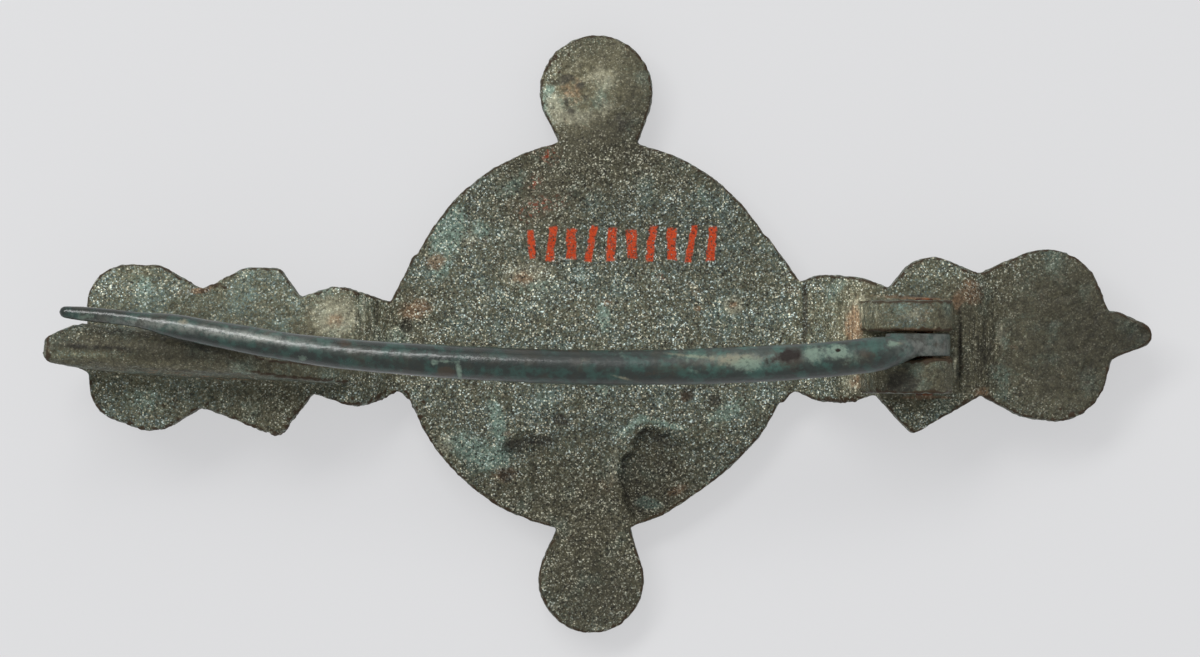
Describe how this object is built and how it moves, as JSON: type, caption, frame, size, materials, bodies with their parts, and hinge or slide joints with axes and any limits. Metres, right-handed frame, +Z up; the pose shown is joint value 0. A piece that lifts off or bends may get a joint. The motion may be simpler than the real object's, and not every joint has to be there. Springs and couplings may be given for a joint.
{
  "type": "fibula brooch",
  "caption": "Cast bronze brooch with a round disc between two lobed arms, lying on its front, with a hinged pin and a curled catch on its back.",
  "frame": {"origin": "under the middle of the disc, on the level that the brooch lies on", "axes": "+Z up, out of the brooch's back; +X along the brooch from the catch to the hinge; +Y to the side where the catch is open"},
  "size_m": [0.0549, 0.0299, 0.0116],
  "materials": {
    "bronze": "matt grey-green and brown corrosion, finely pitted",
    "pin_bronze": "smooth dark green patina with a low gloss",
    "iron": "rusty brown"
  },
  "bodies": {
    "brooch": {"bow": "bronze", "hinge_rod": "iron"},
    "pin": {"pin": "pin_bronze"}
  },
  "joints": [
    {"name": "pin_hinge", "type": "hinge", "parent": "brooch", "child": "pin", "pos_m": [0.01615, -0.00044, 0.0072], "axis": [0, 1, 0], "range_deg": [0, 120]}
  ]
}
